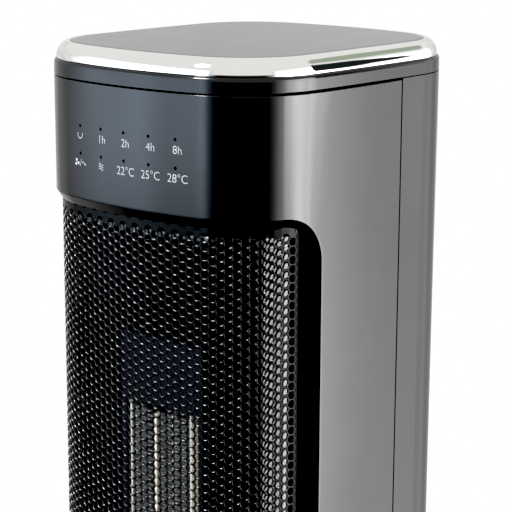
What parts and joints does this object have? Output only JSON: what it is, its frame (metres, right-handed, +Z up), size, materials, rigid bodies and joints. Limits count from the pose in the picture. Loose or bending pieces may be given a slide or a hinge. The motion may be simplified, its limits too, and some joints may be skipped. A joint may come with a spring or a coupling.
{
  "type": "ceramic space heater",
  "caption": "Tower ceramic heater on a round swivel base, gloss black with a chrome ring round a flat touch top, status dots and a tall wrap-around hex-hole grille.",
  "frame": {"origin": "middle of the round base, on the surface the feet stand on", "axes": "+Z up along the swivel axis; the front with the grille faces -Y; +X is the viewer's right when facing the front"},
  "size_m": [0.24, 0.24, 0.58],
  "materials": {
    "shell": "moulded gloss black",
    "chrome": "bright chrome plating",
    "panel": "flat polished black touch panel",
    "grille": "gloss black paint on perforated sheet",
    "liner": "gloss black",
    "duct": "matt black heat-resistant plastic",
    "heater_metal": "bright rolled aluminium",
    "heater_ceramic": "beige fired ceramic in an insulating film",
    "terminal": "tinned brass",
    "led": "dark tinted lens",
    "board": "green solder mask",
    "board_parts": "moulded component bodies",
    "base": "moulded gloss black",
    "base_plate": "matt black",
    "rubber": "soft black rubber",
    "screw": "zinc plated steel",
    "steel": "ground steel",
    "gear": "natural acetal",
    "wheel": "stamped aluminium",
    "filter": "woven nylon dust mesh",
    "rocker": "moulded black",
    "wire": "silicone insulation"
  },
  "bodies": {
    "base": {"base_plate": "base_plate", "base_cover": "base", "rubber_feet": "rubber", "base_screws": "screw", "swivel_post": "base_plate", "retaining_ring": "steel", "swivel_washer": "gear", "cord_gland": "base_plate", "tilt_switch_body": "base_plate", "swivel_gear": "gear"},
    "tilt_plunger": {"tilt_plunger": "rocker"},
    "pinion": {"swivel_pinion": "gear"},
    "blower": {"blower_wheel": "wheel", "blower_shaft": "steel", "blower_motor_rotor": "steel"},
    "dust_filter": {"filter_frame": "base_plate", "filter_mesh": "filter"},
    "power_rocker": {"power_rocker": "rocker"},
    "tower": {"swivel_motor": "steel", "chassis": "base_plate", "swivel_motor_screws": "screw", "front_shell": "shell", "front_grille": "grille", "grille_liner": "liner", "rear_shell": "shell", "shell_screws": "screw", "switch_housing": "rocker", "lid": "shell", "chrome_ring": "chrome", "top_panel": "panel", "touch_board": "board", "led_lenses": "led", "display_board": "board", "heater_rails": "heater_metal", "ceramic_bars": "heater_ceramic", "heater_fins": "heater_metal", "heater_end_blocks": "duct", "heater_terminals": "terminal", "thermal_cutout": "board_parts", "thermal_fuse": "steel", "duct_walls": "duct", "duct_mouth": "duct", "duct_floor": "duct", "duct_roof": "duct", "lower_bearing": "terminal", "blower_motor_case": "steel", "blower_motor_stator": "terminal", "power_board": "board", "power_board_parts": "board_parts", "power_board_screws": "screw", "wires": "wire"}
  },
  "joints": [
    {"name": "swivel", "type": "hinge", "parent": "base", "child": "tower", "pos_m": [0, 0, 0.035], "axis": [0, 0, 1], "range_deg": [-35, 35]},
    {"name": "pinion_spin", "type": "hinge", "parent": "tower", "child": "pinion", "pos_m": [0.036, 0, 0.041], "axis": [0, 0, 1], "range_deg": [-176, 176]},
    {"name": "blower_spin", "type": "hinge", "parent": "tower", "child": "blower", "pos_m": [0, 0.024, 0.259], "axis": [0, 0, 1], "continuous": true},
    {"name": "filter_slide", "type": "slide", "parent": "tower", "child": "dust_filter", "axis": [0, 1, 0], "range_m": [0, 0.06]},
    {"name": "rocker_tilt", "type": "hinge", "parent": "tower", "child": "power_rocker", "pos_m": [-0.042, 0.089, 0.112], "axis": [1, 0, 0], "range_deg": [0, 16]},
    {"name": "plunger_slide", "type": "slide", "parent": "base", "child": "tilt_plunger", "axis": [0, 0, -1], "range_m": [0, 0.0035], "stiffness_N_per_m": 40, "springref_m": 0.006}
  ],
  "couplings": [
    {"joint": "pinion_spin", "follows": "swivel", "ratio": 5}
  ]
}
